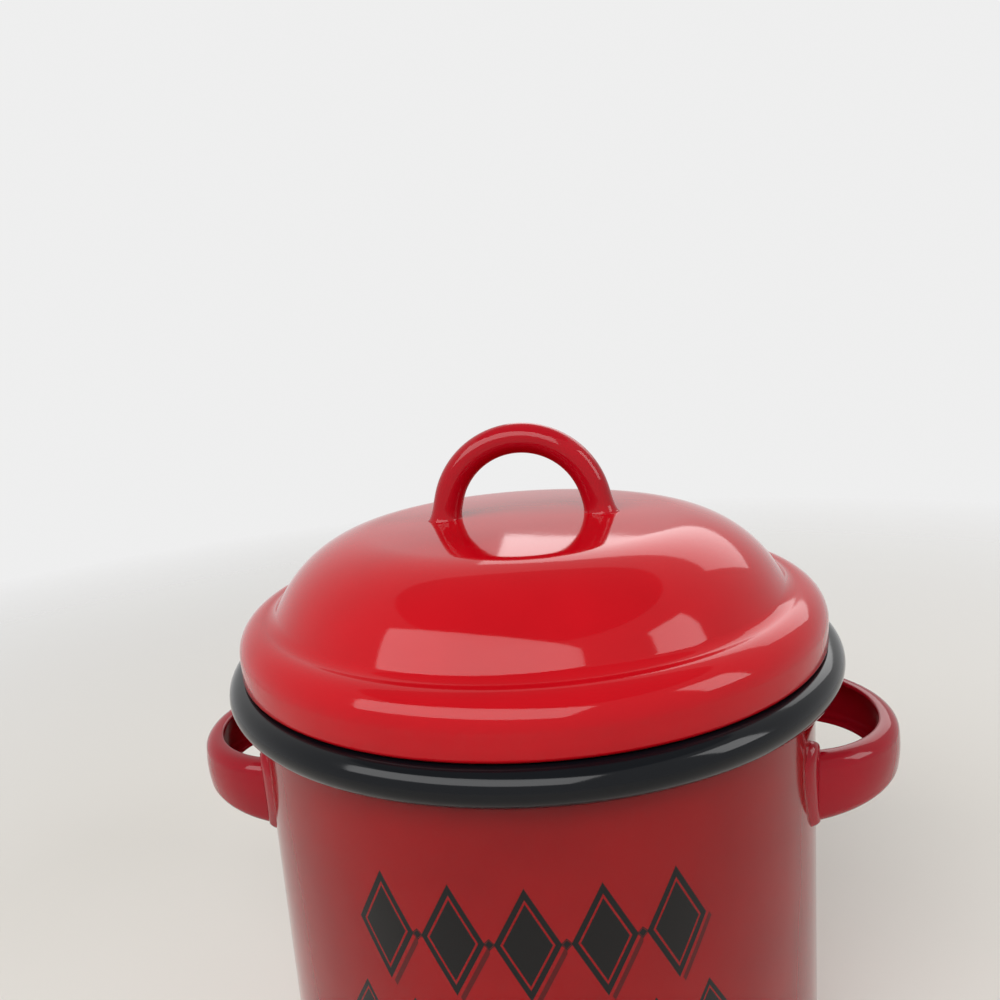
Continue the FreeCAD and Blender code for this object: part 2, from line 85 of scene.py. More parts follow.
LEDGE_RISE = 10.5 * MM
LEDGE_TURN = 5.6 * MM
VALLEY_TURN = 3.2 * MM
FLANK_ANGLE = 56
FLANK_LENGTH = 2.9 * MM
SHOULDER_TURN = 25.5 * MM
CROWN_RISE = 26.4 * MM
LID_TOP = LID_EDGE + CROWN_RISE
HEM_THICK = 2 * MM
HEM_HEIGHT = 1.7 * MM
HEM_SLOPE = 0.4 * MM
HEM_GAP = 0.3 * MM

print("wall", WALL_RADIUS / MM, "rim", RIM_MIDDLE / MM, RIM_TUBE / MM, "lid", LID_RADIUS / MM)

# %% [markdown]
# ## Turning and sweeping
# Nearly all the pieces are either turned about the pot's axis or swept along a bent line, so
# two helpers make them: one closed ring of points after another, joined with faces. An
# outline is given as stretches, each with the number of the finish that its face gets, so
# that one pressed sheet can be red outside and cream inside.


# %% Arcs, skins and turned pieces
SAME_PLACE = 0.002 * MM
NO_LENGTH = 0.001 * MM


def arc(centre, radius, start, end, steps=12):
    """Points on an arc, angles in degrees from the outward level."""
    turns = np.radians(np.linspace(start, end, steps + 1))
    return [(centre[0] + radius * math.cos(t), centre[1] + radius * math.sin(t)) for t in turns]


def solid(name, points, faces, finishes, picks=None, crease=40):
    """A mesh piece with smooth faces and crisp edges where it turns more than the crease."""
    mesh = bpy.data.meshes.new(name)
    mesh.from_pydata([tuple(p) for p in points], [], faces)
    for finish in finishes:
        mesh.materials.append(finish)
    if picks is not None:
        mesh.polygons.foreach_set("material_index", picks)
    work = bmesh.new()
    work.from_mesh(mesh)
    bmesh.ops.remove_doubles(work, verts=work.verts, dist=SAME_PLACE)
    bmesh.ops.dissolve_degenerate(work, dist=NO_LENGTH, edges=work.edges)
    bmesh.ops.recalc_face_normals(work, faces=work.faces)
    work.to_mesh(mesh)
    work.free()
    mesh.shade_smooth()
    mesh.set_sharp_from_angle(angle=math.radians(crease))
    piece = bpy.data.objects.new(name, mesh)
    bpy.context.scene.collection.objects.link(piece)
    return piece


def bands(count, size, first=0, loop=False):
    """Faces from each ring of points to the next; first is the number of the first point."""
    here = np.arange(size)
    beyond = (here + 1) % size
    faces = []
    for station in range(count if loop else count - 1):
        base = first + station * size
        following = first + (station + 1) % count * size
        quads = (base + here, base + beyond, following + beyond, following + here)
        faces += np.stack(quads, axis=1).tolist()
    return faces


def skin(name, rings, finishes, picks=None, loop=False):
    """Join equal rings of points; the ends are closed unless the rings run in a loop."""
    rings = np.array(rings)
    count, size = rings.shape[:2]
    faces = bands(count, size, loop=loop)
    spread = None
    if picks is not None:
        spread = list(picks) * (len(faces) // size)
    if not loop:
        faces += [list(range(size)), list(range((count - 1) * size, count * size))]
    return solid(name, rings.reshape(-1, 3), faces, finishes, spread)


def turned(name, stretches, finishes, around=288):
    """Spin a closed outline about Z. A stretch is its points and the number of its finish."""
    outline = [point for points, _ in stretches for point in points]
    picks = [number for points, number in stretches for _ in points]
    radius, height = np.array(outline).T
    rings = [
        np.stack((radius * math.cos(t), radius * math.sin(t), height), axis=1)
        for t in np.linspace(0, math.tau, around, endpoint=False)
    ]
    return skin(name, rings, finishes, picks, loop=True)


def swept(path, radii, square, sides=40):
    """Round rings along a flat path; square is the direction square to the path's plane."""
    path = np.array(path)
    along = np.gradient(path, axis=0)
    along /= np.linalg.norm(along, axis=1, keepdims=True)
    across = np.cross(along, square)
    turns = np.linspace(0, math.tau, sides, endpoint=False)
    radii = np.broadcast_to(np.asarray(radii, dtype=float), len(path))
    spokes = np.cos(turns)[None, :, None] * across[:, None, :]
    spokes = spokes + np.sin(turns)[None, :, None] * np.array(square, dtype=float)
    return path[:, None, :] + radii[:, None, None] * spokes


# %% [markdown]
# ## Writing shader sums
# A finish is a small graph of nodes. `Graph.make` makes any node from its type, settings and
# inputs. A `Value` wraps one output, so that sums of values are written as plain sums.


# %% Values, graphs and colours
class Value:
    """One output of a shader graph, which can be used in sums."""

    def __init__(self, graph, socket):
        self.graph = graph
        self.socket = socket

    def math(self, operation, *others):
        inputs = dict(enumerate((self, *others)))
        return self.graph.make("ShaderNodeMath", {"operation": operation}, inputs)

    def __add__(self, other):
        return self.math("ADD", other)

    def __sub__(self, other):
        return self.math("SUBTRACT", other)

    def __mul__(self, other):
        return self.math("MULTIPLY", other)

    def __truediv__(self, other):
        return self.math("DIVIDE", other)

    def __rsub__(self, other):
        return (self * -1) + other

    def below(self, edge, soft):
        """1 under the edge and 0 over it, with a soft step of that width."""
        return ((edge - self) / soft + 0.5).clamped()

    def clamped(self):
        settings = {"operation": "ADD", "use_clamp": True}
        return self.graph.make("ShaderNodeMath", settings, {0: self, 1: 0.0})


class Graph:
    """A new material whose nodes are made one by one."""

    def __init__(self, name):
        self.material = bpy.data.materials.new(name)
        self.material.use_nodes = True
        self.tree = self.material.node_tree
        self.tree.nodes.clear()

    def make(self, kind, settings=None, inputs=None, output=0):
        node = self.tree.nodes.new(kind)
        for name, setting in (settings or {}).items():
            setattr(node, name, setting)
        for name, value in (inputs or {}).items():
            if isinstance(value, Value):
                self.tree.links.new(value.socket, node.inputs[name])
            else:
                node.inputs[name].default_value = value
        return Value(self, node.outputs[output])

    def place(self):
        """The point's place in the frame, in metres, as a vector and its three parts."""
        point = self.make("ShaderNodeTexCoord", output="Object")
        split = {
            axis: self.make("ShaderNodeSeparateXYZ", inputs={0: point}, output=axis)
            for axis in "XYZ"
        }
        return point, split["X"], split["Y"], split["Z"]

    def noise(self, point, size, detail=2.0, roughness=0.5):
        """Cloudy noise around 0.5 whose lumps are about size metres wide."""
        inputs = {"Vector": point, "Scale": 1 / size, "Detail": detail, "Roughness": roughness}
        return self.make("ShaderNodeTexNoise", inputs=inputs, output="Fac")

    def mix(self, share, low, high):
        """A colour between low and high, which sockets 6 and 7 take."""
        inputs = {0: share, 6: low, 7: high}
        return self.make("ShaderNodeMix", {"data_type": "RGBA"}, inputs, output=2)

    def bump(self, height, deep, normal=None):
        """Raise the surface by up to deep metres where height is 1."""
        inputs = {"Height": height, "Distance": deep, "Strength": 1.0}
        if normal is not None:
            inputs["Normal"] = normal
        return self.make("ShaderNodeBump", inputs=inputs)

    def finish(self, inputs):
        shader = self.make("ShaderNodeBsdfPrincipled", inputs=inputs)
        self.make_output(shader)
        return self.material

    def make_output(self, shader):
        node = self.tree.nodes.new("ShaderNodeOutputMaterial")
        self.tree.links.new(shader.socket, node.inputs["Surface"])


def colour(red, green, blue):
    """A display colour of 0 to 255 as the light values that the renderer uses."""
    def light(value):
        value /= 255
        return value / 12.92 if value <= 0.04045 else ((value + 0.055) / 1.055) ** 2.4

    return (light(red), light(green), light(blue), 1)


# %% [markdown]
# ## Enamel
# Vitreous enamel is glass fused to steel: a deep colour under a clear, hard surface. Fired
# glass is never quite flat, so a slow wave and a finer orange peel bend its reflections. A
# few gas pits the size of a grain of salt break it. Where glass runs off an edge it is thin,
# and where it pools it is darker, which shows as slow changes of depth. The studio is
# pale all round, so the glass reflects less here than real glass does, or it would look grey.


# %% Enamel
DEPTH_SIZE = 30 * MM
DEPTH_SPREAD = 1.6
DEPTH_SHIFT = 0.3
WAVE_SIZE = 14 * MM
WAVE_DEEP = 0.045 * MM
PEEL_SIZE = 2.6 * MM
PEEL_DEEP = 0.006 * MM
PIT_CELL = 3.4 * MM
PIT_CHANCE = 0.03
PIT_WIDTH = 0.05
PIT_SOFT = 0.03
PIT_STEP = 0.002
PIT_DEEP = 0.05 * MM
PIT_ROUGH = 0.4
GLASS_SHINE = 0.22


def enamel_parts(graph, bright, deep):
    """Place, colour and normal that every enamel shares."""
    point, x, y, z = graph.place()
    depth = graph.noise(point, DEPTH_SIZE, detail=3.0) * DEPTH_SPREAD - DEPTH_SHIFT
    tone = graph.mix(depth.clamped(), bright, deep)
    cells = {"Vector": point, "Scale": 1 / PIT_CELL}
    near = graph.make("ShaderNodeTexVoronoi", inputs=cells, output="Distance")
    lot = graph.make("ShaderNodeTexVoronoi", inputs=cells, output="Color")
    lot = graph.make("ShaderNodeSeparateColor", inputs={0: lot})
    pit = near.below(PIT_WIDTH, PIT_SOFT) * (1 - lot.below(1 - PIT_CHANCE, PIT_STEP))
    wave = graph.bump(graph.noise(point, WAVE_SIZE, detail=0.0), WAVE_DEEP)
    peel = graph.bump(graph.noise(point, PEEL_SIZE, detail=1.0), PEEL_DEEP, wave)
    normal = graph.bump(1 - pit, PIT_DEEP, peel)
    return (x, y, z), tone, pit, normal


def glazed(graph, tone, pit, normal, rough=0.07):
    """The shiny glass surface, dull only in the pits."""
    return graph.finish({
        "Base Color": tone,
        "Roughness": pit * PIT_ROUGH + rough,
        "Specular IOR Level": GLASS_SHINE,
        "Normal": normal,
    })


def enamel(name, bright, deep, rough=0.07):
    graph = Graph(name)
    _, tone, pit, normal = enamel_parts(graph, bright, deep)
    return glazed(graph, tone, pit, normal, rough)


lid_red = enamel("lid_red_enamel", colour(196, 6, 22), colour(176, 3, 16))
arch_red = enamel("arch_red_enamel", colour(182, 6, 26), colour(160, 3, 20))
handle_red = enamel("handle_red_enamel", colour(164, 10, 30), colour(140, 6, 24))
cream = enamel("cream_enamel", colour(238, 231, 214), colour(228, 219, 200), rough=0.12)
black = enamel("black_enamel", colour(12, 15, 20), colour(5, 7, 11), rough=0.1)

# %% [markdown]
# ## The wall's print
# The front is printed in black with a row of upright lozenges, and a row of smaller ones
# below. Each has a thin red line inside its edge and a shadow set off to the lower right.
# The print is worked out on the unrolled wall: how far round from the front, and how high.
# Right under the rim a thin brown line is painted on the wall.

# %% Wall enamel with its printed lozenges
PRINT_TURN = 1.8
EACH_SIDE = 2
ROW_PITCH = 12.9 * MM
ROW_HEIGHT = 82.4 * MM
LOZENGE = (5.7 * MM, 10.6 * MM)
DOT = (1.1 * MM, 1.1 * MM)
LOWER_EACH_SIDE = 3
LOWER_PITCH = ROW_PITCH * 0.82
LOWER_HEIGHT = 62 * MM
LOWER_LOZENGE = (4.4 * MM, 7.4 * MM)
LINE_OUTER = 0.80
LINE_INNER = 0.73
SHADOW = 1.1 * MM
SHADOW_START = 1.12
SHADOW_DARK = 0.8
SOFT = 0.03
EDGE_SOFT = 0.1 * MM
UNDER_RIM_DROP = 0.2 * MM
UNDER_RIM_SOFT = 0.5 * MM
UNDER_RIM_DARK = 0.8
PRINT_BLACK = colour(16, 15, 16)
PRINT_SHADOW = colour(58, 14, 14)
UNDER_RIM_BROWN = colour(74, 38, 28)


def lozenge_row(around, up, pitch, each_side, size):
    """The black of a row of lozenges: the body, less a thin line inside, and its shadow."""
    index = (around / pitch).math("ROUND")
    index = index.math("MINIMUM", each_side).math("MAXIMUM", -each_side)
    aside = around - index * pitch

    def spread(shift):
        across = (aside - shift).math("ABSOLUTE") / size[0]
        return across + (up + shift).math("ABSOLUTE") / size[1]

    reach = spread(0.0)
    line = reach.below(LINE_OUTER, SOFT) - reach.below(LINE_INNER, SOFT)
    body = reach.below(1.0, SOFT) - line
    shadow = spread(SHADOW).below(1.0, SOFT) * (1 - reach.below(SHADOW_START, SOFT))
    return body, shadow


def wall_enamel():
    graph = Graph("red_wall_enamel_with_painted_shade")
    # The wall's red is the lid's enamel painted darker, as painted shade on the upright wall.
    (x, y, z), tone, pit, normal = enamel_parts(graph, colour(150, 12, 16), colour(128, 8, 13))
    angle = x.math("ARCTAN2", y * -1) - math.radians(PRINT_TURN)
    around = angle * WALL_RADIUS
    up, lower_up = z - ROW_HEIGHT, z - LOWER_HEIGHT
    body, shadow = lozenge_row(around, up, ROW_PITCH, EACH_SIDE, LOZENGE)
    lower, lower_shadow = lozenge_row(
        around, lower_up, LOWER_PITCH, LOWER_EACH_SIDE, LOWER_LOZENGE
    )
    dots, _ = lozenge_row(around - ROW_PITCH / 2, up, ROW_PITCH, EACH_SIDE, DOT)
    inside_row = around.math("ABSOLUTE").below(EACH_SIDE * ROW_PITCH, EDGE_SOFT)
    ink = (body + lower + dots * inside_row).clamped()
    outside = (x * x + y * y).math("SQRT") - (WALL_RADIUS - SHEET / 2)
    on_wall = 1 - outside.below(0.0, EDGE_SOFT)
    cast = (shadow + lower_shadow).clamped() * SHADOW_DARK * on_wall
    # A thin brown line painted on the wall just under the rim bead.
    under_rim_line = 1 - z.below(RIM_HEIGHT - RIM_TUBE - UNDER_RIM_DROP, UNDER_RIM_SOFT)
    tone = graph.mix(under_rim_line * UNDER_RIM_DARK, tone, UNDER_RIM_BROWN)
    tone = graph.mix(cast, tone, PRINT_SHADOW)
    tone = graph.mix(ink * on_wall, tone, PRINT_BLACK)
    return glazed(graph, tone, pit, normal, rough=0.09)


red_wall_with_painted_shade = wall_enamel()

# %% [markdown]
# ## Steel
# The strainer is stainless sheet, turned and polished, so the fine scratches of its finish
# run round it. The same scratches are sampled on radius and height only, with a slow drift
# round the axis. The wires of the net and the bail are bright drawn wire with a faint grain.


# %% Brushed steel and wire
SCRATCH_SIZE = 0.12 * MM
SCRATCH_DEEP = 0.004 * MM
SCRATCH_ROUGH = 0.18
SMEAR_SIZE = 9 * MM
SMEAR_ROUGH = 0.1
STEEL_ROUGH = 0.14
ROUND_DRIFT = 0.004
GRAIN_SIZE = 0.5 * MM
GRAIN_DEEP = 0.003 * MM
GRAIN_ROUGH = 0.2
WIRE_ROUGH = 0.2


def brushed_steel():
    graph = Graph("brushed_steel")
    point, x, y, z = graph.place()
    radius = (x * x + y * y).math("SQRT")
    angle = x.math("ARCTAN2", y) * ROUND_DRIFT
    rolled = graph.make("ShaderNodeCombineXYZ", inputs={0: radius, 1: angle, 2: z})
    scratch = graph.noise(rolled, SCRATCH_SIZE, detail=3.0, roughness=0.7)
    smear = graph.noise(point, SMEAR_SIZE, detail=2.0)
    tone = graph.mix(smear, colour(204, 202, 198), colour(184, 183, 181))
    return graph.finish({
        "Base Color": tone,
        "Metallic": 1.0,
        "Roughness": scratch * SCRATCH_ROUGH + smear * SMEAR_ROUGH + STEEL_ROUGH,
        "Normal": graph.bump(scratch, SCRATCH_DEEP),
    })


def drawn_wire():
    graph = Graph("drawn_wire")
    point, _, _, _ = graph.place()
    grain = graph.noise(point, GRAIN_SIZE, detail=2.0)
    tone = graph.mix(grain, colour(206, 205, 202), colour(168, 167, 165))
    return graph.finish({
        "Base Color": tone,
        "Metallic": 1.0,
        "Roughness": grain * GRAIN_ROUGH + WIRE_ROUGH,
        "Normal": graph.bump(grain, GRAIN_DEEP),
    })


steel = brushed_steel()
wire_steel = drawn_wire()

# %% [markdown]
# ## Pot and rim
# The pot is drawn from one sheet. Its base is pushed up a little inside a ring that it stands
# on, and a generous bend leads into the straight wall. At the top the sheet's edge is rolled
# outward to a full bead, which makes the mouth stiff and hides the cut edge.

# %% Pot and rim
inner_wall = WALL_RADIUS - SHEET
ring_outer = WALL_RADIUS - BASE_CORNER
ring_inner = ring_outer - BASE_RING
panel = ring_inner - BASE_STEP
outside = [(0, BASE_RECESS), (panel, BASE_RECESS), (ring_inner, 0)]
outside += arc((ring_outer, BASE_CORNER), BASE_CORNER, -90, 0) + [(WALL_RADIUS, RIM_HEIGHT)]
inside = [(inner_wall, RIM_HEIGHT)]
inside += arc((ring_outer, BASE_CORNER), BASE_CORNER - SHEET, 0, -90)
inside += [(ring_inner, SHEET), (panel, BASE_RECESS + SHEET), (0, BASE_RECESS + SHEET)]
pot = turned("pot_body_look", [(outside, 0), (inside, 1)], [red_wall_with_painted_shade, cream])
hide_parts("pot_body")
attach(pot, "pot")

bead = arc((RIM_MIDDLE, RIM_HEIGHT), RIM_TUBE, 0, 360, steps=48)[:-1]
rim = turned("pot_rim_look", [(bead, 0)], [black])
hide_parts("pot_rim")
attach(rim, "pot")

# %% [markdown]
# ## Side handles
# Each handle is a strap whose long edges are curled inward so that it is round to the touch.
# It is bent to half a circle and gets less high towards its outer end, with its top level.
# The feet are spread on the wall as leaf-shaped laps, and the enamel runs over both.

# %% Side handles
STRAP_DEPTH = 4.2 * MM
STRAP_CURL = 2.8 * MM
STRAP_SHEET = 1.2 * MM
STRAP_CROWN = 24 * MM
FOOT_HEIGHT = 15 * MM
END_HEIGHT = 11.6 * MM
LOOP_RADIUS = 25.2 * MM
LAP_RISE = 4.2 * MM
LAP_INSIDE = 4 * MM
LAP_OUTSIDE = 4.6 * MM
LAP_THICK = 1.5 * MM
LAP_POINT = 0.06
LAP_ROUND = 0.1
SUNK = 0.5 * MM
BACK_SUNK = 0.6 * MM
END_BOW = 0.19 * MM
LOOP_STEPS = 96
BOW_STEPS = 8
LAP_ROWS = 40
LAP_STEPS = 24
strap_top = loop_high.z - LAP_RISE
loop_middle = loop_high.x - LOOP_RADIUS - END_BOW


def bulged(start, end, bow):
    """Points between two ends of a face that bows out by that much."""
    shares = np.linspace(0, 1, BOW_STEPS + 1)
    start, end = np.array(start), np.array(end)
    side = np.array((-1, 0)) * bow
    return [tuple(start + (end - start) * s + side * 4 * s * (1 - s)) for s in shares]


def strap_section(tall):
    """The strap's closed outline: (in from the outer face, up from the top edge)."""
    lip = STRAP_SHEET / 2
    bow = (tall - 2 * STRAP_CURL) ** 2 / 8 / STRAP_CROWN
    high, low = (STRAP_CURL, -STRAP_CURL), (STRAP_CURL, STRAP_CURL - tall)
    tight = STRAP_CURL - STRAP_SHEET
    outline = arc(high, STRAP_CURL, 90, 180, 8)
    outline += bulged((0, high[1]), (0, low[1]), bow)
    outline += arc(low, STRAP_CURL, 180, 270, 8)
    outline += arc((STRAP_DEPTH - lip, lip - tall), lip, -90, 90, 8)
    outline += arc(low, tight, 270, 180, 8)
    outline += bulged((STRAP_SHEET, low[1]), (STRAP_SHEET, high[1]), bow)
    outline += arc(high, tight, 180, 90, 8)
    outline += arc((STRAP_DEPTH - lip, -lip), lip, -90, 90, 8)
    return np.array(outline)


def strap_rings():
    """The strap's section, turned round half a circle and kept out of the wall."""
    rings = []
    for share in np.linspace(-1, 1, LOOP_STEPS + 1):
        turn = share * math.pi / 2
        deep, up = strap_section(END_HEIGHT + (FOOT_HEIGHT - END_HEIGHT) * share**2).T
        out = LOOP_RADIUS - deep
        x, y = loop_middle + out * math.cos(turn), out * math.sin(turn)
        x = np.maximum(x, np.sqrt((WALL_RADIUS - SUNK) ** 2 - y**2))
        rings.append(np.stack((x, y, strap_top + up), axis=1))
    return rings


def lap_rings(side):
    """A leaf on the wall: level rows from its point up to its rounded top."""
    rings = []
    for share in np.linspace(0, 1, LAP_ROWS + 1):
        up = -FOOT_HEIGHT + share * (FOOT_HEIGHT + LAP_RISE)
        near = LOOP_RADIUS - LAP_INSIDE
        if up < 0:
            far = LOOP_RADIUS + LAP_OUTSIDE * math.sin(math.pi / 2 * (1 + up / FOOT_HEIGHT))
        else:
            rise = up / LAP_RISE
            near += LAP_INSIDE * rise**2
            far = near + (LOOP_RADIUS + LAP_OUTSIDE - near) * math.sqrt(max(1 - rise**2, 0))
        across = np.linspace(0, 1, LAP_STEPS + 1)
        y = near + (far - near) * across
        end = min(share / LAP_POINT, (1 - share) / LAP_ROUND, 1)
        swell = (1 - np.abs(2 * across - 1) ** 4) * math.sqrt(end * (2 - end))
        radius = WALL_RADIUS - SUNK + (LAP_THICK + SUNK) * swell
        outer = np.stack((np.sqrt(radius**2 - y**2), y * side, y * 0 + strap_top + up), axis=1)
        back = np.sqrt((WALL_RADIUS - BACK_SUNK) ** 2 - y**2)
        inner = np.stack((back, y * side, y * 0 + strap_top + up), axis=1)[::-1]
        rings.append(np.concatenate((outer, inner)))
    return rings


def join(name, pieces):
    """Make one object of several."""
    with bpy.context.temp_override(active_object=pieces[0], selected_editable_objects=pieces):
        bpy.ops.object.join()
    pieces[0].name = name
    return pieces[0]


for side_name, heading in (("right", 0), ("left", 180)):
    parts = [skin("strap", strap_rings(), [handle_red])]
    parts += [skin("lap", lap_rings(side), [handle_red]) for side in (-1, 1)]
    handle = join("side_handle_%s_look" % side_name, parts)
    handle.data.transform(Matrix.Rotation(math.radians(heading), 4, "Z"))
    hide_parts("side_handle_" + side_name)
    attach(handle, "pot")

# %% [markdown]
# ## Lid
# The lid is pressed to a shallow crown that rounds over a soft shoulder, drops down a short
# steep flank, turns in a tight valley and ends in a broad turned-down edge. Each stretch runs
# into the next without a kink, so the face is a chain of arcs that touch. The underside is
# the same chain inset by the sheet.

# %% Lid
ledge_radius = LID_RADIUS - LEDGE_TURN
ledge_top = LID_EDGE + LEDGE_RISE
flank = math.radians(FLANK_ANGLE)
flank_foot = (
    ledge_radius - VALLEY_TURN * math.sin(flank),
    ledge_top + VALLEY_TURN * (1 - math.cos(flank)),
)
shoulder_middle = (
    flank_foot[0] - FLANK_LENGTH * math.cos(flank) - SHOULDER_TURN * math.sin(flank),
    flank_foot[1] + FLANK_LENGTH * math.sin(flank) - SHOULDER_TURN * math.cos(flank),
)
shoulder_drop = LID_TOP - shoulder_middle[1]
crown_turn = (shoulder_middle[0] ** 2 + shoulder_drop**2 - SHOULDER_TURN**2) / (
    2 * (shoulder_drop - SHOULDER_TURN)
)
crown_angle = math.degrees(math.asin(shoulder_middle[0] / (crown_turn - SHOULDER_TURN)))


def lid_face(inset):
    """The lid's face from the middle to the edge, inset square to itself."""
    points = arc((0, LID_TOP - crown_turn), crown_turn - inset, 90, 90 - crown_angle, 30)
    points += arc(shoulder_middle, SHOULDER_TURN - inset, 90 - crown_angle, 90 - FLANK_ANGLE, 24)
    points += arc(
        (ledge_radius, ledge_top + VALLEY_TURN), VALLEY_TURN + inset, 270 - FLANK_ANGLE, 270, 14
    )
    points += arc((ledge_radius, ledge_top - LEDGE_TURN), LEDGE_TURN - inset, 90, 0, 30)
    return points


def crown_height(radius):
    """Height of the lid's outer face near its middle."""
    return LID_TOP - crown_turn + math.sqrt(crown_turn**2 - radius**2)


hem = arc((LID_RADIUS - HEM_THICK / 2, LID_EDGE + HEM_THICK / 2), HEM_THICK / 2, 0, -180, 16)
hem_lip = [
    (LID_RADIUS - HEM_THICK, LID_EDGE + HEM_HEIGHT - HEM_SLOPE),
    (LID_RADIUS - SHEET - HEM_GAP, LID_EDGE + HEM_HEIGHT),
]
lid = turned(
    "lid_shell_look",
    [(lid_face(0), 0), (hem, 0), (hem_lip + lid_face(SHEET)[::-1], 1)],
    [lid_red, cream],
)
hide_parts("lid_shell")
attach(lid, "lid")
print("crown radius", round(crown_turn / MM, 1), "crown angle", round(crown_angle, 2))

# %% [markdown]
# The skirt is a plain ring welded inside the broad edge. It drops into the strainer's mouth
# and keeps the lid in the middle.

# %% Lid skirt
SKIRT_SHEET = 0.8 * MM
SKIRT_GAP = 0.6 * MM
COLLAR_SHEET = 0.7 * MM
COLLAR_GAP = 0.3 * MM
collar_outer = inner_wall - COLLAR_GAP
collar_inner = collar_outer - COLLAR_SHEET
skirt_outer = collar_inner - SKIRT_GAP
skirt_inner = skirt_outer - SKIRT_SHEET
turn_height = ledge_top - LEDGE_TURN
inside_turn = LEDGE_TURN - SHEET

tight_turn = inside_turn - SKIRT_SHEET
skirt_tip = (skirt_outer - SKIRT_SHEET / 2, skirt_low.z + SKIRT_SHEET / 2)
top_angle = math.degrees(math.acos((skirt_outer - ledge_radius) / inside_turn))
low_angle = math.degrees(math.acos((skirt_inner - ledge_radius) / tight_turn))
skirt_line = arc((ledge_radius, turn_height), inside_turn, 90, top_angle)
skirt_line += arc(skirt_tip, SKIRT_SHEET / 2, 0, -180, 8)
skirt_line += arc((ledge_radius, turn_height), tight_turn, low_angle, 90)
skirt = turned("lid_skirt_look", [(skirt_line, 0)], [steel])
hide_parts("lid_skirt")
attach(skirt, "lid")

# %% [markdown]
# The lid's handle is a round bar bent to an arch with its legs splayed a little. Molten glass
# pools round its feet, so each foot widens in a hollow curve where it meets the crown.

# %% Lid handle
BAR_RADIUS = 3.35 * MM
ARCH_RADIUS = 17 * MM
ARCH_HALF = 75
FLARE_WIDTH = 0.6 * MM
FLARE_HEIGHT = 3 * MM
FOOT_SUNK = SHEET * 0.6
LEG_STEPS = 48
arch_centre = arch_high.z - BAR_RADIUS - ARCH_RADIUS


def arch_line():
    """The bar's middle line in the XZ plane, from under one foot to under the other."""
    splay = math.radians(ARCH_HALF)
    knee = np.array((ARCH_RADIUS * math.sin(splay), arch_centre + ARCH_RADIUS * math.cos(splay)))
    down = np.array((math.cos(splay), -math.sin(splay)))
    leg = (knee[1] - crown_height(ARCH_RADIUS) + BAR_RADIUS) / math.sin(splay)
    right = [knee + down * step for step in np.linspace(leg, 0, LEG_STEPS)]
    bend = arc((0, arch_centre), ARCH_RADIUS, 90 - ARCH_HALF, 90 + ARCH_HALF, 60)[1:-1]
    return [tuple(p) for p in right] + bend + [(-p[0], p[1]) for p in right[::-1]]


def flared(rings):
    """Widen each foot in a hollow curve over the crown, and end it just inside the sheet."""
    for ring in rings:
        middle = ring.mean(axis=0)
        for spot in ring:
            over = spot[2] - crown_height(math.hypot(spot[0], spot[1]))
            share = min(max(1 - over / FLARE_HEIGHT, 0), 1)
            outward = (spot - middle) / np.linalg.norm(spot - middle)
            spot += outward * FLARE_WIDTH * (1 - math.sqrt(1 - share**2))
            floor_height = crown_height(math.hypot(spot[0], spot[1])) - FOOT_SUNK
            spot[2] = max(spot[2], floor_height)
    return rings


arch_path = [(x, 0, z) for x, z in arch_line()]
arch_rings = flared(swept(arch_path, BAR_RADIUS, (0, 1, 0), sides=56))
arch = skin("lid_handle_look", arch_rings, [arch_red])
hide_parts("lid_handle")
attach(arch, "lid")

# %% [markdown]
# ## Strainer
# A thin stainless collar hangs on the rim's inner shoulder by a curved lip. A flange at its
# foot carries the net, which an angle ring holds down.

# %% Collar and clamp ring
LIP_ANGLE = 58
COLLAR_CORNER = 2.5 * MM
FLANGE_WIDTH = 8 * MM
RING_SHEET = 0.7 * MM
RING_CORNER = 1.5 * MM
rim_centre = (RIM_MIDDLE, RIM_HEIGHT)
flange_inner = collar_outer - FLANGE_WIDTH
corner_centre = (collar_outer - COLLAR_CORNER, collar_low.z + COLLAR_CORNER)
collar_line = arc(rim_centre, RIM_TUBE + COLLAR_GAP, 180, 180 - LIP_ANGLE)
collar_line += arc(rim_centre, RIM_TUBE + COLLAR_GAP + COLLAR_SHEET, 180 - LIP_ANGLE, 180)
collar_line += arc(corner_centre, COLLAR_CORNER - COLLAR_SHEET, 0, -90)
collar_line += [(flange_inner, collar_low.z + COLLAR_SHEET), (flange_inner, collar_low.z)]
collar_line += arc(corner_centre, COLLAR_CORNER, -90, 0)
collar = turned("strainer_collar_look", [(collar_line, 0)], [steel])
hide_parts("strainer_collar")
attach(collar, "strainer")

clamp_outer = clamp_high.x
clamp_centre = (clamp_outer - RING_CORNER, clamp_low.z + RING_CORNER)
clamp_line = [(flange_inner, clamp_low.z)] + arc(clamp_centre, RING_CORNER, -90, 0)
clamp_line += [(clamp_outer, clamp_high.z), (clamp_outer - RING_SHEET, clamp_high.z)]
clamp_line += arc(clamp_centre, RING_CORNER - RING_SHEET, 0, -90)
clamp_line += [(flange_inner, clamp_low.z + RING_SHEET)]
clamp = turned("mesh_ring_look", [(clamp_line, 0)], [steel])
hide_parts("mesh_ring")
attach(clamp, "strainer")

# %% [markdown]
# The floor is a woven net. Its wires pass over and under each other, so each wire is a slow
# wave, and neighbours wave in opposite steps. They are drawn a little thin, so that they
# don't cut into each other where they cross.

# %% Woven net
NET_PITCH = 1.6 * MM
NET_WIRE = 0.3 * MM
NET_THINNING = 0.98
STEPS_PER_PITCH = 3


